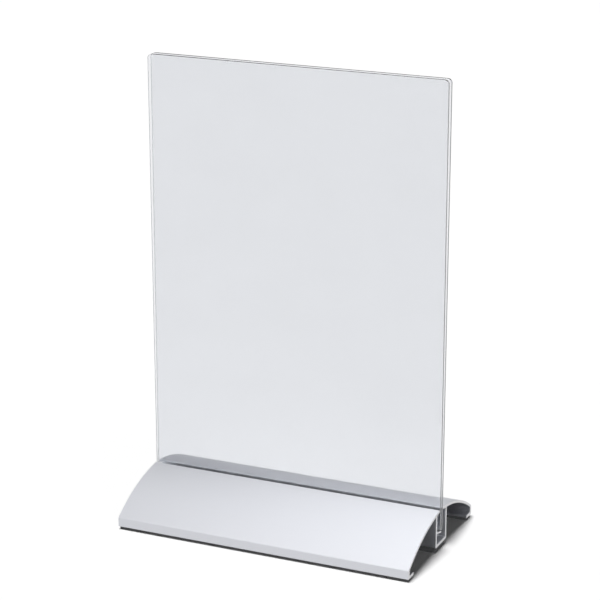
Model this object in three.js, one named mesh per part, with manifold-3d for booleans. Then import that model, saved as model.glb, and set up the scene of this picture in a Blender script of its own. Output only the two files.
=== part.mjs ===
// Table menu holder: an aluminium extrusion with two arched wings, a clear pocket of two leaves that
// stands in the extrusion's channel, and rubber foot pads under the toes and the channel.
//
// Millimetres, +Z up. X runs along the extrusion and +Y points to the rear. The origin is on the table,
// under the middle of the holder. Heights in the extrusion's section are counted from its underside.

import * as THREE from "three";
import { mergeVertices } from "three/addons/utils/BufferGeometryUtils.js";
import Module from "manifold-3d";

// Length of the extrusion and width of the pocket, which end flush: the width of an A5 card.
const HOLDER_LENGTH = 148;

// Extrusion: wings and toes
const BASE_DEPTH = 83;
const TOE_HEIGHT = 4.5;
const TOE_WALL = 1.5;
const FLANGE_DEPTH = 6.4;
const FLANGE_THICKNESS = 1.5;
const MOUTH_HEIGHT = 18.8;
const WING_RADIUS = 80;
const WING_THICKNESS = 1.2;
const EDGE_RADIUS = 0.4;

// Extrusion: channel, with the ledge that carries the pocket on its front wall
const CHANNEL_WIDTH = 11.1;
const CHANNEL_WALL = 1.4;
const FLOOR_RISE = 1.2;
const FLOOR_THICKNESS = 1.4;
const FLOOR_CORNER_RADIUS = 0.8;
const LEDGE_HEIGHT = 7.4;
const LEDGE_FALL = 1.5;
const LEDGE_THICKNESS = 0.8;
const LEDGE_PAST_MIDDLE = 0.3;

// Pocket: one sheet folded into a U, whose leaves lean out a little towards the top
const POCKET_HEIGHT = 213;
const LEAF_THICKNESS = 1.3;
const CARD_GAP = 0.9;
const LEAF_SPLAY = 0.7;
const POCKET_CORNER_RADIUS = 2;

// Foot pads: the channel's pads are thicker by the rise of its floor, so that all stand on the table
const FOOT_THICKNESS = 1.4;
const FOOT_LENGTH = 10.5;
const FOOT_END_INSET = 0.4;
const FOOT_EDGE_INSET = 0.4;
const FOOT_CORNER_RADIUS = 1;

// Clearances
const MOUTH_CLEARANCE = 0.4;
const SEAT_CLEARANCE = 0.3;

// How far a cutting outline reaches past what it cuts, and how close corners are that are one corner
const CUT_MARGIN = 1;
const MERGE_DISTANCE = 1e-4;

// Fineness of the round stretches, and the least turn that counts as a corner of the section
const WING_STEPS = 24;
const ROUND_STEPS = 6;
const EDGE_STEPS = 3;
const CORNER_TURN = Math.PI / 4;

// Sizes that follow
const toeFace = -BASE_DEPTH / 2;
const channelInside = CHANNEL_WIDTH / 2;
const channelOutside = channelInside + CHANNEL_WALL;
const foldInside = CARD_GAP / 2;
const foldOutside = foldInside + LEAF_THICKNESS;
const mouthEdge = foldOutside + MOUTH_CLEARANCE;
const ledgeSlope = LEDGE_FALL / (channelInside + LEDGE_PAST_MIDDLE);
const ledgeAtMiddle = LEDGE_HEIGHT + ledgeSlope * LEDGE_PAST_MIDDLE;
const foldCentre = ledgeAtMiddle + (foldOutside + SEAT_CLEARANCE) * Math.hypot(1, ledgeSlope);

const wasm = await Module();
wasm.setup();

// A closed geometry as a solid for cutting, with its shared corners merged.
function toSolid(geometry) {
  geometry.deleteAttribute("normal");
  geometry.deleteAttribute("uv");
  const merged = mergeVertices(geometry, MERGE_DISTANCE);
  return new wasm.Manifold(new wasm.Mesh({
    numProp: 3,
    vertProperties: new Float32Array(merged.attributes.position.array),
    triVerts: new Uint32Array(merged.index.array),
  }));
}

// A cut solid as a geometry again.
function toGeometry(solid) {
  const mesh = solid.getMesh();
  const geometry = new THREE.BufferGeometry();
  geometry.setAttribute("position", new THREE.BufferAttribute(mesh.vertProperties, 3));
  geometry.setIndex(new THREE.BufferAttribute(mesh.triVerts, 1));
  geometry.computeVertexNormals();
  return geometry;
}

// A section drawn in Y and Z, drawn out along X and centred on the middle of the holder.
function alongX(section, length) {
  const geometry = new THREE.ExtrudeGeometry(section, {
    depth: length,
    bevelEnabled: false,
    curveSegments: ROUND_STEPS,
  });
  geometry.translate(0, 0, -length / 2);
  const toPart = new THREE.Matrix4().makeBasis(
    new THREE.Vector3(0, 1, 0),
    new THREE.Vector3(0, 0, 1),
    new THREE.Vector3(1, 0, 0),
  );
  return geometry.applyMatrix4(toPart);
}

// A rectangle about the origin with round corners.
function roundedRectangle(width, height, radius) {
  const x = width / 2 - radius;
  const y = height / 2 - radius;
  const shape = new THREE.Shape();
  shape.absarc(x, -y, radius, -Math.PI / 2, 0, false);
  shape.absarc(x, y, radius, 0, Math.PI / 2, false);
  shape.absarc(-x, y, radius, Math.PI / 2, Math.PI, false);
  shape.absarc(-x, -y, radius, Math.PI, 1.5 * Math.PI, false);
  shape.closePath();
  return shape;
}

// Centre of the wing's arch, which passes through the top of the toe and the top edge of the mouth's lip.
function wingCentre() {
  const toeTop = new THREE.Vector2(toeFace, TOE_HEIGHT);
  const lipTop = new THREE.Vector2(-mouthEdge, MOUTH_HEIGHT);
  const chord = lipTop.clone().sub(toeTop);
  const drop = Math.sqrt(WING_RADIUS ** 2 - chord.lengthSq() / 4);
  const below = new THREE.Vector2(chord.y, -chord.x).normalize();
  return toeTop.add(lipTop).multiplyScalar(0.5).addScaledVector(below, drop);
}

// Points along an arc, from one angle to the other whichever way that runs.
function arc(x, y, radius, from, to, steps) {
  return new THREE.EllipseCurve(x, y, radius, radius, from, to, to < from).getPoints(steps);
}

// A closed outline with its corners rounded as a die rounds them. The small turns along arcs stay.
function roundCorners(outline, radius) {
  return outline.flatMap((corner, index) => {
    const back = outline.at(index - 1).clone().sub(corner);
    const on = outline[(index + 1) % outline.length].clone().sub(corner);
    const turn = Math.PI - back.angleTo(on);
    if (turn < CORNER_TURN) {
      return [corner];
    }
    const cut = Math.min(radius * Math.tan(turn / 2), back.length() / 2, on.length() / 2);
    const start = corner.clone().addScaledVector(back.normalize(), cut);
    const end = corner.clone().addScaledVector(on.normalize(), cut);
    return new THREE.QuadraticBezierCurve(start, corner, end).getPoints(EDGE_STEPS);
  });
}

// The front half of the extrusion's outline, from the top of the channel's inner wall round the mouth's
// lip, the wing and the toe to the channel's underside.
function frontHalf() {
  const { x: archY, y: archZ } = wingCentre();
  const inner = WING_RADIUS - WING_THICKNESS;
  const angleAt = (radius, y) => Math.acos((y - archY) / radius);
  const archAt = (radius, fromY, toY, steps) => (
    arc(archY, archZ, radius, angleAt(radius, fromY), angleAt(radius, toY), steps)
  );
  const toeInside = toeFace + TOE_WALL;
  const flangeEnd = toeFace + FLANGE_DEPTH;
  const cornerY = FLOOR_CORNER_RADIUS - channelOutside;
  const cornerZ = FLOOR_CORNER_RADIUS + FLOOR_RISE;

  return [
    ...archAt(inner, -channelInside, -mouthEdge, ROUND_STEPS),
    ...archAt(WING_RADIUS, -mouthEdge, toeFace, WING_STEPS),
    new THREE.Vector2(toeFace, 0),
    new THREE.Vector2(flangeEnd, 0),
    new THREE.Vector2(flangeEnd, FLANGE_THICKNESS),
    new THREE.Vector2(toeInside, FLANGE_THICKNESS),
    ...archAt(inner, toeInside, -channelOutside, WING_STEPS),
    ...arc(cornerY, cornerZ, FLOOR_CORNER_RADIUS, Math.PI, 1.5 * Math.PI, ROUND_STEPS),
  ];
}

// The inside of the channel, from the foot of the rear wall to the top of the ledge on the front wall.
function channelInner() {
  const floorTop = FLOOR_RISE + FLOOR_THICKNESS;
  const ledgeAtWall = LEDGE_HEIGHT + LEDGE_FALL;
  return [
    new THREE.Vector2(channelInside, floorTop),
    new THREE.Vector2(-channelInside, floorTop),
    new THREE.Vector2(-channelInside, ledgeAtWall - LEDGE_THICKNESS),
    new THREE.Vector2(LEDGE_PAST_MIDDLE, LEDGE_HEIGHT - LEDGE_THICKNESS),
    new THREE.Vector2(LEDGE_PAST_MIDDLE, LEDGE_HEIGHT),
    new THREE.Vector2(-channelInside, ledgeAtWall),
  ];
}

// Both wings are alike: the rear half is the front half, mirrored and followed backwards.
function baseExtrusion() {
  const front = frontHalf();
  const rear = front.map((point) => new THREE.Vector2(-point.x, point.y)).reverse();
  const outline = roundCorners([...front, ...rear, ...channelInner()], EDGE_RADIUS);
  return alongX(new THREE.Shape(outline), HOLDER_LENGTH);
}

// The U of the pocket, from the underside of its fold, cut to round corners at the top.
function pocket() {
  const section = new THREE.Shape();
  section.absarc(0, foldOutside, foldOutside, Math.PI, 2 * Math.PI, false);
  section.lineTo(foldOutside + LEAF_SPLAY, POCKET_HEIGHT);
  section.lineTo(foldInside + LEAF_SPLAY, POCKET_HEIGHT);
  section.absarc(0, foldOutside, foldInside, 2 * Math.PI, Math.PI, true);
  section.lineTo(-foldInside - LEAF_SPLAY, POCKET_HEIGHT);
  section.lineTo(-foldOutside - LEAF_SPLAY, POCKET_HEIGHT);
  section.closePath();

  // The face's outline is twice as tall, about the underside of the fold, so only its top corners cut.
  const depth = 2 * (foldOutside + LEAF_SPLAY + CUT_MARGIN);
  const face = new THREE.ExtrudeGeometry(
    roundedRectangle(HOLDER_LENGTH, 2 * POCKET_HEIGHT, POCKET_CORNER_RADIUS),
    { depth, bevelEnabled: false, curveSegments: ROUND_STEPS },
  );
  face.translate(0, 0, -depth / 2);
  face.rotateX(Math.PI / 2);
  return toGeometry(toSolid(alongX(section, HOLDER_LENGTH)).intersect(toSolid(face)));
}

function footPad(width, thickness) {
  return new THREE.ExtrudeGeometry(
    roundedRectangle(FOOT_LENGTH, width, FOOT_CORNER_RADIUS),
    { depth: thickness, bevelEnabled: false, curveSegments: ROUND_STEPS },
  );
}

// Finishes, one material to a piece
const anodisedAluminium = () => new THREE.MeshStandardMaterial({
  color: 0xd3d4db,
  roughness: 0.38,
  metalness: 1,
});

const clearPlastic = () => new THREE.MeshStandardMaterial({
  color: 0xe2e5ea,
  roughness: 0.05,
  metalness: 0,
  transparent: true,
  opacity: 0.3,
});

const blackRubber = () => new THREE.MeshStandardMaterial({
  color: 0x1c1d1f,
  roughness: 0.85,
  metalness: 0,
});

const holder = new THREE.Group();

function addPiece(name, geometry, material, x, y, z) {
  const piece = new THREE.Mesh(geometry, material);
  piece.name = name;
  piece.position.set(x, y, z);
  holder.add(piece);
}

addPiece("base_extrusion", baseExtrusion(), anodisedAluminium(), 0, 0, FOOT_THICKNESS);
addPiece("pocket", pocket(), clearPlastic(), 0, 0, FOOT_THICKNESS + foldCentre - foldOutside);

// A pad at each end of each row: under the front toe, the channel and the rear toe.
const padX = HOLDER_LENGTH / 2 - FOOT_END_INSET - FOOT_LENGTH / 2;
const toePadY = BASE_DEPTH / 2 - FLANGE_DEPTH / 2;
const toePadWidth = FLANGE_DEPTH - 2 * FOOT_EDGE_INSET;
const channelPadWidth = 2 * (channelOutside - FLOOR_CORNER_RADIUS);
const padRows = [
  { row: "front", y: -toePadY, width: toePadWidth, thickness: FOOT_THICKNESS },
  { row: "channel", y: 0, width: channelPadWidth, thickness: FOOT_THICKNESS + FLOOR_RISE },
  { row: "rear", y: toePadY, width: toePadWidth, thickness: FOOT_THICKNESS },
];

for (const { row, y, width, thickness } of padRows) {
  addPiece(`${row}_left_foot`, footPad(width, thickness), blackRubber(), -padX, y, 0);
  addPiece(`${row}_right_foot`, footPad(width, thickness), blackRubber(), padX, y, 0);
}

export default holder;
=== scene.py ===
"""Table menu holder: an arched aluminium profile on rubber pads, with a clear pocket in its channel."""

import math

import bmesh
import bpy
from bpy.props import FloatProperty, FloatVectorProperty, IntProperty, PointerProperty
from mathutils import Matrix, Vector


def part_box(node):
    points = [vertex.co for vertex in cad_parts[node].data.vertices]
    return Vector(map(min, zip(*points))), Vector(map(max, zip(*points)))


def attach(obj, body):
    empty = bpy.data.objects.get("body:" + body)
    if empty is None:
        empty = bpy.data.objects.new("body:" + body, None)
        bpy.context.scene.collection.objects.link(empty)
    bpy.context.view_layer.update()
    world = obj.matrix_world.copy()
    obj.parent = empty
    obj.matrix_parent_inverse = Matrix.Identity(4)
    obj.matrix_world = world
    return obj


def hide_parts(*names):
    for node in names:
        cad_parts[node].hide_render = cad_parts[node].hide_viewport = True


bl_info = {
    "name": "Menu Holder",
    "version": (1, 0, 0),
    "blender": (4, 5, 0),
    "location": "3D View > Sidebar > Menu Holder",
    "description": "Table menu holder with an aluminium profile, a clear pocket and rubber pads",
    "category": "Object",
}

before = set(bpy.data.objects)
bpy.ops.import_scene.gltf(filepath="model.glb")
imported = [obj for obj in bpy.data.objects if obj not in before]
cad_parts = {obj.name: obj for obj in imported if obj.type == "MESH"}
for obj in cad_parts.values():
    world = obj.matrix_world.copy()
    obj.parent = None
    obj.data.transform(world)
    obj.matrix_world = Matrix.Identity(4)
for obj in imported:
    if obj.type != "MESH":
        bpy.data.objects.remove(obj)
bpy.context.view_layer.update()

MM = 0.001
MERGE_DISTANCE = 0.001 * MM

BASE_LOW, BASE_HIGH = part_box("base_extrusion")
POCKET_LOW, POCKET_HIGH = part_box("pocket")
FEET = sorted(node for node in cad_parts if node.endswith("_foot"))

# Material slots of the profile's ends and of the sheet's edges
CUT_FACE = 1
TOP_EDGE = 1
SIDE_EDGE = 2

QUARTER_TURN = math.pi / 2
HALF_TURN = math.pi
ALONG_X, ALONG_Y, ALONG_Z = range(3)
# Shares of an edge's length and of a face's normal that count as along an axis
STRAIGHT = 0.999
FACING = 0.9

WHITE = (1, 1, 1)
PLASTIC_IOR = 1.57
# Power of the tint that light from outside takes on at each face of the sheet
TRACE_OF_TINT = 0.05
# Shift of the saw marks' pattern, whose arcs lie round the blade's axle
SAW_SHIFT = (0, 0.11, 0.14)

# Limits that tell none from one bounce of a ray, and two bounces from three
NO_BOUNCE = 0.5
TWO_BOUNCES = 2.5

# Mean level of a sky that fades evenly from the top to the horizon, as a level floor receives it
SKY_ON_FLOOR = 2 / 3
# What metal mirrors of the room: places from left to right with their levels, and from low to high
SIDEWAYS_LEVELS = (
    (0.0, 0.8), (0.13, 0.6), (0.21, 0.05), (0.265, 0.05),
    (0.30, 0.85), (0.37, 1.76), (0.48, 0.80), (0.9, 0.62),
)
RAISED_LEVELS = ((0.08, 0.18), (0.50, 0.86), (0.95, 1.2))


class ProfileSizes(bpy.types.PropertyGroup):
    """The aluminium profile's section, whose length, depth and height come from the frame."""

    wing_radius: FloatProperty(
        name="Wing Radius", description="Radius of a wing's outer arch", default=80 * MM, unit="LENGTH"
    )
    wing_thickness: FloatProperty(
        name="Wing Thickness", description="Wall of a wing", default=1.2 * MM, unit="LENGTH"
    )
    toe_height: FloatProperty(
        name="Toe Height", description="Height of the upright toe", default=4.5 * MM, unit="LENGTH"
    )
    toe_wall: FloatProperty(
        name="Toe Wall", description="Wall of the upright toe", default=1.5 * MM, unit="LENGTH"
    )
    flange_depth: FloatProperty(
        name="Flange Depth", description="Depth of the inturned flange", default=6.4 * MM, unit="LENGTH"
    )
    flange_thickness: FloatProperty(
        name="Flange Thickness", description="Wall of the flange", default=1.5 * MM, unit="LENGTH"
    )
    mouth_clearance: FloatProperty(
        name="Mouth Clearance", description="Gap from a lip to the pocket", default=0.4 * MM, unit="LENGTH"
    )
    channel_width: FloatProperty(
        name="Channel Width", description="Width inside the channel", default=11.1 * MM, unit="LENGTH"
    )
    channel_wall: FloatProperty(
        name="Channel Wall", description="Wall of the channel's sides", default=1.4 * MM, unit="LENGTH"
    )
    floor_rise: FloatProperty(
        name="Floor Rise", description="Channel floor above the toes", default=1.2 * MM, unit="LENGTH"
    )
    floor_thickness: FloatProperty(
        name="Floor Thickness", description="Wall of the channel's floor", default=1.4 * MM, unit="LENGTH"
    )
    floor_corner: FloatProperty(
        name="Floor Corner", description="Outer radius under the channel", default=0.8 * MM, unit="LENGTH"
    )
    ledge_height: FloatProperty(
        name="Ledge Height", description="Height of the ledge at its tip", default=7.4 * MM, unit="LENGTH"
    )
    ledge_fall: FloatProperty(
        name="Ledge Fall", description="Fall of the ledge from wall to tip", default=1.5 * MM, unit="LENGTH"
    )
    ledge_thickness: FloatProperty(
        name="Ledge Thickness", description="Wall of the ledge", default=0.8 * MM, unit="LENGTH"
    )
    ledge_past_middle: FloatProperty(
        name="Ledge Reach", description="Reach of the ledge past the middle", default=0.3 * MM,
        unit="LENGTH",
    )
    edge_radius: FloatProperty(
        name="Edge Radius", description="Radius of the section's corners", default=0.4 * MM, unit="LENGTH"
    )
    end_break: FloatProperty(
        name="End Break", description="Broken edge round the sawn ends", default=0.1 * MM, unit="LENGTH"
    )
    wing_steps: IntProperty(name="Wing Steps", description="Steps along a wing's arch", default=56)
    lip_steps: IntProperty(name="Lip Steps", description="Steps along the underside of a lip", default=4)
    round_steps: IntProperty(name="Round Steps", description="Steps along a small round", default=10)
    edge_steps: IntProperty(name="Edge Steps", description="Steps round the section's corners", default=4)
    end_steps: IntProperty(name="End Steps", description="Steps round the sawn ends' edges", default=2)


class PocketSizes(bpy.types.PropertyGroup):
    """The clear pocket, whose width and height come from the frame."""

    leaf_thickness: FloatProperty(
        name="Leaf Thickness", description="Thickness of the sheet", default=1.3 * MM, unit="LENGTH"
    )
    card_gap: FloatProperty(
        name="Card Gap", description="Gap between the leaves at the fold", default=0.9 * MM, unit="LENGTH"
    )
    corner_radius: FloatProperty(
        name="Corner Radius", description="Radius of the upper corners", default=2 * MM, unit="LENGTH"
    )
    edge_break: FloatProperty(
        name="Edge Break", description="Polished edge of the sheet", default=0.18 * MM, unit="LENGTH"
    )
    fold_steps: IntProperty(name="Fold Steps", description="Steps round the fold", default=20)
    corner_steps: IntProperty(name="Corner Steps", description="Steps round a corner", default=12)
    edge_steps: IntProperty(name="Edge Steps", description="Steps round the sheet's edges", default=2)


class PadSizes(bpy.types.PropertyGroup):
    """The rubber pads, whose places and sizes come from the frame."""

    corner_radius: FloatProperty(
        name="Corner Radius", description="Radius of a pad's corners", default=1 * MM, unit="LENGTH"
    )
    edge_break: FloatProperty(
        name="Edge Break", description="Rounded edge of a pad", default=0.22 * MM, unit="LENGTH"
    )
    corner_steps: IntProperty(name="Corner Steps", description="Steps round a pad's corner", default=6)
    edge_steps: IntProperty(name="Edge Steps", description="Steps round a pad's edges", default=3)


class Finishes(bpy.types.PropertyGroup):
    """Colours of the finishes."""

    anodised: FloatVectorProperty(
        name="Anodised", description="Satin anodised aluminium", subtype="COLOR", size=3,
        default=(0.838, 0.852, 0.900),
    )
    sawn: FloatVectorProperty(
        name="Sawn", description="Sawn aluminium at the ends", subtype="COLOR", size=3,
        default=(0.955, 0.957, 0.965),
    )
    sheet: FloatVectorProperty(
        name="Sheet", description="Tint of one leaf of the clear sheet", subtype="COLOR", size=3,
        default=(0.852, 0.861, 0.880),
    )
    # Painted shade: the upper edges' dark tint stands for the dark that the polished edges mirror and bend
    # in
    painted_shade_top_edge: FloatVectorProperty(
        name="Top Edge", description="Tint in the depth of the polished upper edges", subtype="COLOR",
        size=3, default=(0.100, 0.105, 0.120),
    )
    side_edge: FloatVectorProperty(
        name="Side Edge", description="Matt side edges of the sheet", subtype="COLOR", size=3,
        default=(0.800, 0.815, 0.845),
    )
    rubber: FloatVectorProperty(
        name="Rubber", description="Black rubber", subtype="COLOR", size=3,
        default=(0.125, 0.127, 0.130),
    )


class StageSizes(bpy.types.PropertyGroup):
    """Floor, light and camera."""

    floor_width: FloatProperty(
        name="Floor Width", description="Side of the floor", default=12.0, unit="LENGTH"
    )
    floor_white: FloatProperty(
        name="Floor White", description="Level that the floor shows in full light", default=1.02
    )
    floor_bounce: FloatProperty(
        name="Floor Bounce", description="Share of light that the floor throws back", default=0.22
    )
    floor_mirrored: FloatProperty(
        name="Floor Mirrored", description="Level of the floor in metal, next to what is seen", default=0.70
    )
    ceiling: FloatProperty(name="Ceiling", description="Light from straight above", default=0.05)
    horizon: FloatProperty(
        name="Horizon", description="Light from the sides, next to the ceiling's", default=0.04
    )
    front_lift: FloatProperty(
        name="Front Lift", description="How much higher the front counts in what metal mirrors", default=0.6
    )
    key: FloatProperty(name="Key", description="Light from the soft lamp overhead", default=2.95)
    key_spread: FloatProperty(
        name="Key Spread", description="Angle that the overhead lamp fills", default=math.radians(25),
        subtype="ANGLE",
    )
    key_from: FloatVectorProperty(
        name="Key From", description="Direction that the overhead lamp stands in", size=3,
        default=(-0.10, -0.14, 1.0),
    )
    fill: FloatProperty(name="Fill", description="Light from the low lamp at the right", default=1.6)
    fill_spread: FloatProperty(
        name="Fill Spread", description="Angle that the low lamp fills", default=math.radians(20),
        subtype="ANGLE",
    )
    fill_from: FloatVectorProperty(
        name="Fill From", description="Direction that the low lamp stands in", size=3,
        default=(1.0, -0.9, 0.05),
    )
    azimuth: FloatProperty(
        name="Azimuth", description="Camera's turn from the front to the right", default=math.radians(24.1),
        subtype="ANGLE",
    )
    elevation: FloatProperty(
        name="Elevation", description="Camera's angle above the table", default=math.radians(17.5),
        subtype="ANGLE",
    )
    distance: FloatProperty(
        name="Distance", description="Camera's distance from its target", default=1.0, unit="LENGTH"
    )
    target: FloatVectorProperty(
        name="Target", description="Point in the middle of the picture", size=3, unit="LENGTH",
        default=(1.735 * MM, 0.776 * MM, 112.0 * MM),
    )
    lens: FloatProperty(name="Lens", description="Focal length of the camera in millimetres", default=129.3)


class Signal:
    """A socket of a shader: arithmetic on it adds Math nodes, and node() adds any other node."""

    def __init__(self, tree, socket=None):
        self.tree = tree
        self.socket = socket

    def node(self, kind, settings=None, values=None, output=0):
        made = self.tree.nodes.new(kind)
        for name, value in (settings or {}).items():
            if name == "stops":
                set_stops(made.color_ramp, value)
            else:
                setattr(made, name, value)
        for name, value in (values or {}).items():
            socket = made.inputs[name]
            if isinstance(value, Signal):
                self.tree.links.new(value.socket, socket)
            else:
                socket.default_value = value
        return Signal(self.tree, made.outputs[output] if len(made.outputs) else None)

    def math(self, operation, first, second):
        return self.node("ShaderNodeMath", {"operation": operation}, {0: first, 1: second})

    def __add__(self, other):
        return self.math("ADD", self, other)

    def __radd__(self, other):
        return self.math("ADD", other, self)

    def __rsub__(self, other):
        return self.math("SUBTRACT", other, self)

    def __mul__(self, other):
        return self.math("MULTIPLY", self, other)

    def __rmul__(self, other):
        return self.math("MULTIPLY", other, self)

    def maximum(self, other):
        return self.math("MAXIMUM", self, other)

    def stretched(self, scale, location=(0, 0, 0)):
        return self.node("ShaderNodeMapping", None, {"Vector": self, "Scale": scale, "Location": location})

    def noise(self, scale, detail, roughness):
        return self.node(
            "ShaderNodeTexNoise", None,
            {"Vector": self, "Scale": scale, "Detail": detail, "Roughness": roughness},
        )

    def ramp(self, *stops):
        return self.node("ShaderNodeValToRGB", {"stops": stops}, {"Fac": self})

    def mixed(self, first, second):
        return self.node(
            "ShaderNodeMix", {"data_type": "RGBA"},
            {"Factor": self, "A": first, "B": second}, output="Result",
        )

    def bump(self, strength, distance):
        return self.node(
            "ShaderNodeBump", None, {"Height": self, "Strength": strength, "Distance": distance}
        )


def set_stops(ramp, stops):
    """Gives a colour ramp its stops, as positions and grey levels."""
    while len(ramp.elements) < len(stops):
        ramp.elements.new(1.0)
    for element, (position, level) in zip(ramp.elements, stops):
        element.position = position
        element.color = (level, level, level, 1)


def shade(colour, factor):
    """A colour made lighter or darker, with full alpha."""
    return (*(channel * factor for channel in colour), 1)


def new_material(name):
    """An empty node material, with a Signal to build its nodes from."""
    material = bpy.data.materials.new(name)
    material.use_nodes = True
    material.node_tree.nodes.clear()
    return material, Signal(material.node_tree)


def set_surface(signal, shader):
    signal.node("ShaderNodeOutputMaterial", None, {"Surface": shader})


def object_place(signal):
    return signal.node("ShaderNodeTexCoord", output="Object")


def light_paths(signal, *names):
    """What is known of the ray that meets a surface or the room, by the names of the outputs."""
    return [signal.node("ShaderNodeLightPath", output=name) for name in names]


def anodised_aluminium(finish):
    """Satin anodised aluminium: fine die lines along the profile, etched grain and faint cloudiness."""
    material, signal = new_material("anodised_aluminium")
    place = object_place(signal)
    lines = place.stretched(scale=(4, 2600, 2600)).noise(scale=1.0, detail=3.0, roughness=0.6)
    grain = place.noise(scale=9000.0, detail=2.0, roughness=0.55)
    cloud = place.stretched(scale=(9, 26, 26)).noise(scale=1.0, detail=3.0, roughness=0.5)
    tone = 0.45 * lines + 0.25 * grain + 0.3 * cloud
    colour = tone.mixed(shade(finish.anodised, 0.97), shade(finish.anodised, 1.02))
    roughness = 0.33 + 0.05 * lines + 0.05 * grain + 0.04 * cloud
    relief = 0.6 * lines + 0.4 * grain
    set_surface(signal, signal.node("ShaderNodeBsdfPrincipled", None, {
        "Base Color": colour,
        "Metallic": 1.0,
        "Roughness": roughness,
        "Normal": relief.bump(strength=0.12, distance=0.02 * MM),
    }))
    return material


def sawn_aluminium(finish):
    """Aluminium as the saw leaves it: shallow arcs of the blade across the end of the profile."""
    material, signal = new_material("sawn_aluminium")
    place = object_place(signal)
    from_axle = place.stretched(scale=(0, 1, 1), location=SAW_SHIFT)
    arcs = signal.node("ShaderNodeVectorMath", {"operation": "LENGTH"}, {0: from_axle}, output="Value")
    blade = signal.node("ShaderNodeCombineXYZ", None, {"X": arcs})
    marks = blade.noise(scale=2600.0, detail=3.0, roughness=0.65)
    grain = place.noise(scale=7000.0, detail=2.0, roughness=0.5)
    tone = 0.7 * marks + 0.3 * grain
    set_surface(signal, signal.node("ShaderNodeBsdfPrincipled", None, {
        "Base Color": tone.mixed(shade(finish.sawn, 0.9), shade(finish.sawn, 1.08)),
        "Metallic": 1.0,
        "Roughness": 0.52 + 0.14 * tone,
        "Normal": tone.bump(strength=0.25, distance=0.02 * MM),
    }))
    return material


def clear_sheet(name, tint, clearness, gloss, roughness, smear, ripple):
    """Clear plastic sheet with faint wipe marks and ripples.

    Light from the lamps, and mirrored or scattered light that meets the sheet from outside, goes straight
    through with a trace of its tint.
    """
    material, signal = new_material(name)
    place = object_place(signal)
    streaks = place.stretched(scale=(14, 14, 34)).noise(scale=1.0, detail=4.0, roughness=0.6)
    wipes = streaks.ramp((0.45, 0.0), (0.8, 1.0))
    specks = place.noise(scale=2200.0, detail=1.0, roughness=0.4).ramp((0.72, 0.0), (0.8, 1.0))
    waves = place.stretched(scale=(16, 16, 9)).noise(scale=1.0, detail=1.0, roughness=0.4)
    dust = 0.75 * wipes + 0.25 * specks
    plastic = signal.node("ShaderNodeBsdfPrincipled", None, {
        "Base Color": dust.mixed(shade(tint, 1.0), shade(tint, 0.985)),
        "Roughness": roughness + smear * dust,
        "IOR": PLASTIC_IOR,
        "Transmission Weight": clearness,
        "Coat Weight": gloss,
        "Coat Roughness": roughness,
        "Normal": waves.bump(strength=ripple, distance=1 * MM),
    })
    one_face = [channel ** TRACE_OF_TINT for channel in tint]
    passing = signal.node("ShaderNodeBsdfTransparent", None, {"Color": shade(one_face, 1.0)})
    lamp, mirror, soft, passed = light_paths(
        signal, "Is Shadow Ray", "Is Glossy Ray", "Is Diffuse Ray", "Transmission Depth"
    )
    outside = signal.math("LESS_THAN", passed, NO_BOUNCE)
    straight = lamp.maximum(mirror.maximum(soft) * outside)
    set_surface(signal, signal.node("ShaderNodeMixShader", None, {0: straight, 1: plastic, 2: passing}))
    return material


def black_rubber(finish):
    """Matt black rubber with a moulded grain and a little dust."""
    material, signal = new_material("black_rubber")
    place = object_place(signal)
    grain = place.noise(scale=3200.0, detail=3.0, roughness=0.6)
    dust = place.noise(scale=420.0, detail=3.0, roughness=0.6).ramp((0.5, 0.0), (0.85, 1.0))
    tone = 0.5 * grain + 0.5 * dust
    set_surface(signal, signal.node("ShaderNodeBsdfPrincipled", None, {
        "Base Color": tone.mixed(shade(finish.rubber, 0.8), shade(finish.rubber, 1.7)),
        "Roughness": 0.70 + 0.2 * grain,
        "Specular IOR Level": 0.35,
        "Normal": grain.bump(strength=0.5, distance=0.06 * MM),
    }))
    return material


class SectionLine:
    """A line of a section in the YZ plane, drawn from point to point and round arcs."""

    def __init__(self, mesh, x, y, z):
        self.mesh = mesh
        self.x = x
        self.tip = mesh.verts.new((x, y, z))

    def to(self, y, z):
        vertex = self.mesh.verts.new((self.x, y, z))
        self.mesh.edges.new((self.tip, vertex))
        self.tip = vertex

    def turn(self, y, z, angle, steps):
        """Follows an arc about a centre by an angle, from +Y towards +Z when positive."""
        spun = bmesh.ops.spin(
            self.mesh, geom=[self.tip], cent=(self.x, y, z), axis=(1, 0, 0), angle=angle, steps=steps,
            use_duplicate=False,
        )
        self.tip = vertices_of(spun["geom_last"])[0]

    def join(self, vertex):
        self.mesh.edges.new((self.tip, vertex))
        self.tip = vertex


def vertices_of(geometry):
    return [item for item in geometry if isinstance(item, bmesh.types.BMVert)]


def edges_of(geometry):
    return [item for item in geometry if isinstance(item, bmesh.types.BMEdge)]


def extrude_along(mesh, geometry, step):
    """Extrudes a face region by a step."""
    moved = bmesh.ops.extrude_face_region(mesh, geom=geometry)["geom"]
    bmesh.ops.translate(mesh, verts=vertices_of(moved), vec=step)


def round_edges(mesh, edges, offset, segments):
    bmesh.ops.bevel(
        mesh, geom=edges, offset=offset, offset_type="OFFSET", segments=segments, profile=0.5,
        affect="EDGES", clamp_overlap=True, material=-1,
    )


def runs_along(edge, axis):
    """True for an edge that runs along an axis, given by its number."""
    step = edge.verts[1].co - edge.verts[0].co
    return abs(step[axis]) > STRAIGHT * step.length


def is_corner(edge):
    """True for an edge whose faces turn by more than half a right angle."""
    return abs(edge.calc_face_angle(0)) > QUARTER_TURN / 2


def add_object(name, data):
    """A new object at the origin, in the scene."""
    added = bpy.data.objects.new(name, data)
    bpy.context.scene.collection.objects.link(added)
    return added


def mesh_object(name, mesh, materials):
    """A finished mesh as an object, with its materials."""
    data = bpy.data.meshes.new(name)
    mesh.to_mesh(data)
    mesh.free()
    for material in materials:
        data.materials.append(material)
    return add_object(name, data)


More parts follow.
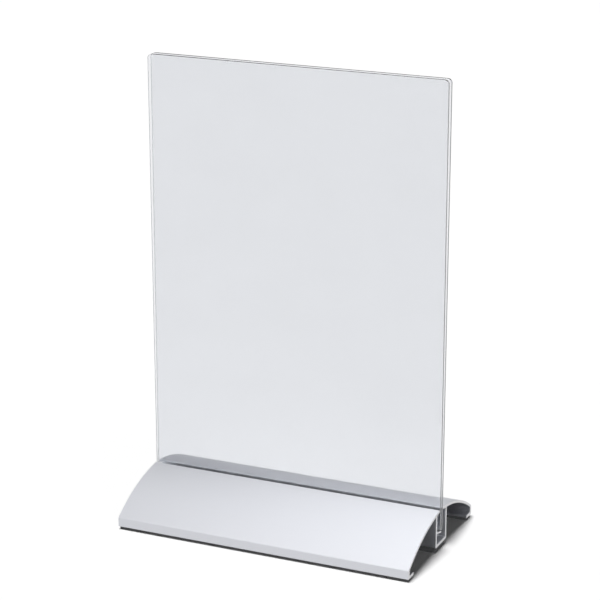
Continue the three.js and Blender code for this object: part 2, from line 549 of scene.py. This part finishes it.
def new_piece(name, mesh, materials):
    """A piece of the holder, with soft shading held flat by its large faces."""
    bmesh.ops.recalc_face_normals(mesh, faces=mesh.faces[:])
    piece = mesh_object(name, mesh, materials)
    piece.data.shade_smooth()
    weighted = piece.modifiers.new("large_faces_flat", "WEIGHTED_NORMAL")
    weighted.keep_sharp = True
    return piece


def fold_radii(pocket):
    """Inner and outer radius of the pocket's fold."""
    inside = pocket.card_gap / 2
    return inside, inside + pocket.leaf_thickness


def arch_of(size, mouth_edge, toe_face, bottom, top):
    """Centre of the wing's arch, through the top of the toe and the top edge of the lip."""
    toe_top = Vector((toe_face, bottom + size.toe_height))
    lip_top = Vector((-mouth_edge, top))
    chord = lip_top - toe_top
    drop = math.sqrt(size.wing_radius ** 2 - chord.length_squared / 4)
    below = Vector((chord.y, -chord.x)).normalized()
    return (toe_top + lip_top) / 2 + drop * below


def draw_front_half(mesh, size, mouth_edge, x):
    """Draws the front half of the section, from the middle of the underside round to the channel's wall."""
    bottom, toe_face = BASE_LOW.z, BASE_LOW.y
    arch_y, arch_z = arch_of(size, mouth_edge, toe_face, bottom, BASE_HIGH.z)
    outer, inner = size.wing_radius, size.wing_radius - size.wing_thickness

    def angle_at(radius, y):
        return math.acos((y - arch_y) / radius)

    inside = size.channel_width / 2
    outside = inside + size.channel_wall
    toe_inside = toe_face + size.toe_wall
    flange_end = toe_face + size.flange_depth
    rise = bottom + size.floor_rise
    lip_top_angle, lip_under_angle = angle_at(outer, -mouth_edge), angle_at(inner, -mouth_edge)
    wall_angle, toe_inner_angle = angle_at(inner, -outside), angle_at(inner, toe_inside)
    toe_angle = angle_at(outer, toe_face)

    line = SectionLine(mesh, x, 0, rise)
    line.to(size.floor_corner - outside, rise)
    line.turn(size.floor_corner - outside, rise + size.floor_corner, -QUARTER_TURN, size.round_steps)
    line.to(-outside, arch_z + inner * math.sin(wall_angle))
    line.turn(arch_y, arch_z, toe_inner_angle - wall_angle, size.wing_steps)
    line.to(toe_inside, bottom + size.flange_thickness)
    line.to(flange_end, bottom + size.flange_thickness)
    line.to(flange_end, bottom)
    line.to(toe_face, bottom)
    line.to(toe_face, arch_z + outer * math.sin(toe_angle))
    line.turn(arch_y, arch_z, lip_top_angle - toe_angle, size.wing_steps)
    line.to(-mouth_edge, arch_z + inner * math.sin(lip_under_angle))
    line.turn(arch_y, arch_z, angle_at(inner, -inside) - lip_under_angle, size.lip_steps)
    return line


def draw_channel(size, line, rear_corner):
    """Draws the inside of the channel, down the front wall with its ledge and up the rear wall."""
    bottom = BASE_LOW.z
    inside = size.channel_width / 2
    floor_top = bottom + size.floor_rise + size.floor_thickness
    tip_top = bottom + size.ledge_height
    wall_top = tip_top + size.ledge_fall
    line.to(-inside, wall_top)
    line.to(size.ledge_past_middle, tip_top)
    line.to(size.ledge_past_middle, tip_top - size.ledge_thickness)
    line.to(-inside, wall_top - size.ledge_thickness)
    line.to(-inside, floor_top)
    line.to(inside, floor_top)
    line.join(rear_corner)


class MENUHOLDER_OT_profile(bpy.types.Operator):
    """Make the aluminium profile: wings, toes and flanges, channel and ledge, with sawn ends"""

    bl_idname = "menu_holder.profile"
    bl_label = "Aluminium Profile"

    def execute(self, context):
        settings = context.scene.menu_holder_profile
        finish = context.scene.menu_holder_finishes
        mouth_edge = fold_radii(context.scene.menu_holder_pocket)[1] + settings.mouth_clearance
        mesh = bmesh.new()
        line = draw_front_half(mesh, settings, mouth_edge, BASE_LOW.x)
        front_corner = line.tip.co.copy()
        bmesh.ops.mirror(
            mesh, geom=mesh.verts[:] + mesh.edges[:], axis="Y", merge_dist=MERGE_DISTANCE
        )
        rear_place = Vector((front_corner.x, -front_corner.y, front_corner.z))
        rear_corner = min(mesh.verts, key=lambda vertex: (vertex.co - rear_place).length)
        line.tip = min(mesh.verts, key=lambda vertex: (vertex.co - front_corner).length)
        draw_channel(settings, line, rear_corner)
        section = bmesh.ops.contextual_create(mesh, geom=mesh.verts[:] + mesh.edges[:])["faces"]
        extrude_along(mesh, section, (BASE_HIGH.x - BASE_LOW.x, 0, 0))
        mesh.normal_update()
        for face in mesh.faces:
            face.material_index = CUT_FACE if abs(face.normal.x) > FACING else 0
        corners = [edge for edge in mesh.edges if runs_along(edge, ALONG_X) and is_corner(edge)]
        round_edges(mesh, corners, settings.edge_radius, settings.edge_steps)
        rims = [
            edge for edge in mesh.edges
            if len({face.material_index for face in edge.link_faces}) == 2
        ]
        round_edges(mesh, rims, settings.end_break, settings.end_steps)
        piece = new_piece("aluminium_profile", mesh, [anodised_aluminium(finish), sawn_aluminium(finish)])
        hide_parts("base_extrusion")
        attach(piece, "base")
        return {"FINISHED"}


class MENUHOLDER_OT_pocket(bpy.types.Operator):
    """Make the clear pocket: one sheet folded into a U, with round upper corners and polished edges"""

    bl_idname = "menu_holder.pocket"
    bl_label = "Clear Pocket"

    def execute(self, context):
        settings = context.scene.menu_holder_pocket
        finish = context.scene.menu_holder_finishes
        left, top = POCKET_LOW.x, POCKET_HIGH.z
        fold_inside, fold_outside = fold_radii(settings)
        splay = POCKET_HIGH.y - fold_outside
        fold_z = POCKET_LOW.z + fold_outside

        mesh = bmesh.new()
        start = [
            mesh.verts.new((left, -fold_outside - splay, top)),
            mesh.verts.new((left, -fold_inside - splay, top)),
        ]
        edge = mesh.edges.new(start)

        def carry_on(edge, outside, inside, z):
            """Extrudes the sheet's edge to a new place."""
            moved = bmesh.ops.extrude_edge_only(mesh, edges=[edge])["geom"]
            outer, inner = sorted(vertices_of(moved), key=lambda vertex: abs(vertex.co.y), reverse=True)
            outer.co = (left, outside, z)
            inner.co = (left, inside, z)
            return edges_of(moved)[0]

        edge = carry_on(edge, -fold_outside, -fold_inside, fold_z)
        spun = bmesh.ops.spin(
            mesh, geom=[edge, *edge.verts], cent=(left, 0, fold_z), axis=(1, 0, 0), angle=HALF_TURN,
            steps=settings.fold_steps, use_duplicate=False,
        )
        edge = edges_of(spun["geom_last"])[0]
        carry_on(edge, fold_outside + splay, fold_inside + splay, top)
        extrude_along(mesh, mesh.faces[:], (POCKET_HIGH.x - left, 0, 0))
        mesh.normal_update()

        def at_top(part):
            return min(vertex.co.z for vertex in part.verts) > top - MERGE_DISTANCE

        for face in mesh.faces:
            if at_top(face):
                face.material_index = TOP_EDGE
            elif abs(face.normal.x) > FACING:
                face.material_index = SIDE_EDGE
        corners = [edge for edge in mesh.edges if runs_along(edge, ALONG_Y) and at_top(edge)]
        round_edges(mesh, corners, settings.corner_radius, settings.corner_steps)
        rims = [
            edge for edge in mesh.edges
            if sorted(face.material_index > 0 for face in edge.link_faces) == [False, True]
        ]
        round_edges(mesh, rims, settings.edge_break, settings.edge_steps)
        piece = new_piece("clear_pocket", mesh, [
            clear_sheet(
                "clear_plastic", finish.sheet,
                clearness=1.0, gloss=1.0, roughness=0.015, smear=0.05, ripple=0.02,
            ),
            # Upper edges, tinted dark as painted shade for the dark that they mirror
            clear_sheet(
                "clear_plastic_top_edge", finish.painted_shade_top_edge,
                clearness=1.0, gloss=0.0, roughness=0.06, smear=0.06, ripple=0.0,
            ),
            clear_sheet(
                "clear_plastic_side_edge", finish.side_edge,
                clearness=0.4, gloss=0.0, roughness=0.22, smear=0.10, ripple=0.0,
            ),
        ])
        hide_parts("pocket")
        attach(piece, "pocket")
        return {"FINISHED"}


class MENUHOLDER_OT_pads(bpy.types.Operator):
    """Make the rubber pads under the toes and the channel, where the frame has them"""

    bl_idname = "menu_holder.pads"
    bl_label = "Rubber Pads"

    def execute(self, context):
        settings = context.scene.menu_holder_pads
        rubber = black_rubber(context.scene.menu_holder_finishes)
        for foot in FEET:
            low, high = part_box(foot)
            mesh = bmesh.new()
            cube = bmesh.ops.create_cube(mesh, size=1.0)["verts"]
            bmesh.ops.scale(mesh, verts=cube, vec=high - low)
            bmesh.ops.translate(mesh, verts=cube, vec=(low + high) / 2)
            uprights = [edge for edge in mesh.edges if runs_along(edge, ALONG_Z)]
            round_edges(mesh, uprights, settings.corner_radius, settings.corner_steps)
            mesh.normal_update()
            rims = [edge for edge in mesh.edges if is_corner(edge) and not runs_along(edge, ALONG_Z)]
            round_edges(mesh, rims, settings.edge_break, settings.edge_steps)
            piece = new_piece(foot.replace("_foot", "_pad"), mesh, [rubber])
            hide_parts(foot)
            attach(piece, "base")
        return {"FINISHED"}


def by_ray(signal, lighting, mirrored, seen):
    """One colour for light on surfaces, one for what metal mirrors, and one for what is seen.

    What shows through the sheet counts as seen. Light that has scattered, or that metal has mirrored more
    than twice, gets the first colour.
    """
    camera, gloss, through, scattered, bounced = light_paths(
        signal, "Is Camera Ray", "Is Glossy Ray", "Is Transmission Ray", "Diffuse Depth", "Glossy Depth"
    )
    clean = signal.math("LESS_THAN", scattered, NO_BOUNCE)
    mirror = gloss * clean * signal.math("LESS_THAN", bounced, TWO_BOUNCES)
    return (camera.maximum(through) * clean).mixed(mirror.mixed(lighting, mirrored), seen)


def white_floor(settings):
    """Floor that shows as white in full light, keeps shadows and throws little light on the holder."""
    material, signal = new_material("white_floor")
    sky = settings.ceiling * (settings.horizon + (1 - settings.horizon) * SKY_ON_FLOOR)
    lamps = ((settings.key, settings.key_from), (settings.fill, settings.fill_from))
    light = sky + sum(strength * Vector(place).normalized().z / math.pi for strength, place in lamps)
    white = settings.floor_white / light
    colour = by_ray(
        signal,
        lighting=shade(WHITE, settings.floor_bounce),
        mirrored=shade(WHITE, settings.floor_mirrored * white),
        seen=shade(WHITE, white),
    )
    set_surface(signal, signal.node("ShaderNodeBsdfDiffuse", None, {"Color": colour}))
    return material


def white_room(settings):
    """Room that is white to the eye and lights from above.

    Metal mirrors it darker low down, with a bright band left of the front and a dark one beside that.
    """
    world = bpy.data.worlds.new("white_room")
    world.use_nodes = True
    world.node_tree.nodes.clear()
    signal = Signal(world.node_tree)
    direction = signal.node("ShaderNodeTexCoord", output="Generated")
    across, along, height = (
        signal.node("ShaderNodeSeparateXYZ", None, {0: direction}, output=axis) for axis in "XYZ"
    )
    lighting = settings.ceiling * height.ramp((0.0, settings.horizon), (1.0, 1.0))
    from_left = 0.5 + 0.5 * across
    sideways = from_left.ramp(*SIDEWAYS_LEVELS)
    raised = height + settings.front_lift * (0.0 - along).maximum(0.0)
    mirrored = sideways * raised.ramp(*RAISED_LEVELS)
    colour = by_ray(signal, lighting, mirrored, seen=shade(WHITE, 1))
    sky = signal.node("ShaderNodeBackground", None, {"Color": colour, "Strength": 1.0})
    signal.node("ShaderNodeOutputWorld", None, {"Surface": sky})
    return world


def add_lamp(name, strength, spread, direction):
    """A distant soft lamp that lights surfaces and leaves what metal mirrors to the room."""
    data = bpy.data.lights.new(name, "SUN")
    data.energy = strength
    data.angle = spread
    lamp = add_object(name, data)
    lamp.rotation_euler = Vector(direction).to_track_quat("Z", "Y").to_euler()
    lamp.visible_glossy = False


class MENUHOLDER_OT_stage(bpy.types.Operator):
    """Make the white floor, the soft light and the camera"""

    bl_idname = "menu_holder.stage"
    bl_label = "Stage"

    def execute(self, context):
        scene = context.scene
        settings = scene.menu_holder_stage
        scene.view_settings.view_transform = "Standard"

        mesh = bmesh.new()
        bmesh.ops.create_grid(mesh, x_segments=1, y_segments=1, size=settings.floor_width / 2)
        floor = mesh_object("floor", mesh, [white_floor(settings)])

        scene.world = white_room(settings)

        add_lamp("overhead_lamp", settings.key, settings.key_spread, settings.key_from)
        add_lamp("right_lamp", settings.fill, settings.fill_spread, settings.fill_from)

        camera_data = bpy.data.cameras.new("camera")
        camera_data.lens = settings.lens
        camera = add_object("camera", camera_data)
        level = math.cos(settings.elevation)
        back = Vector((
            math.sin(settings.azimuth) * level,
            -math.cos(settings.azimuth) * level,
            math.sin(settings.elevation),
        ))
        camera.location = Vector(settings.target) + settings.distance * back
        camera.rotation_euler = back.to_track_quat("Z", "Y").to_euler()
        scene.camera = camera
        return {"FINISHED"}


GROUPS = {
    "menu_holder_profile": ProfileSizes,
    "menu_holder_pocket": PocketSizes,
    "menu_holder_pads": PadSizes,
    "menu_holder_finishes": Finishes,
    "menu_holder_stage": StageSizes,
}
OPERATORS = (MENUHOLDER_OT_profile, MENUHOLDER_OT_pocket, MENUHOLDER_OT_pads, MENUHOLDER_OT_stage)


class MENUHOLDER_PT_panel(bpy.types.Panel):
    """Sidebar panel with the holder's pieces and sizes"""

    bl_idname = "MENUHOLDER_PT_panel"
    bl_label = "Menu Holder"
    bl_space_type = "VIEW_3D"
    bl_region_type = "UI"
    bl_category = "Menu Holder"

    def draw(self, context):
        for operator in OPERATORS:
            self.layout.operator(operator.bl_idname)
        for name, group in GROUPS.items():
            box = self.layout.box()
            settings = getattr(context.scene, name)
            for prop in group.__annotations__:
                box.prop(settings, prop)


CLASSES = (*GROUPS.values(), *OPERATORS, MENUHOLDER_PT_panel)


def register():
    for made in CLASSES:
        bpy.utils.register_class(made)
    for name, group in GROUPS.items():
        setattr(bpy.types.Scene, name, PointerProperty(type=group))


def unregister():
    for name in GROUPS:
        delattr(bpy.types.Scene, name)
    for made in reversed(CLASSES):
        bpy.utils.unregister_class(made)


def main():
    register()
    bpy.ops.menu_holder.profile()
    bpy.ops.menu_holder.pocket()
    bpy.ops.menu_holder.pads()
    bpy.ops.menu_holder.stage()


if __name__ == "__main__":
    main()
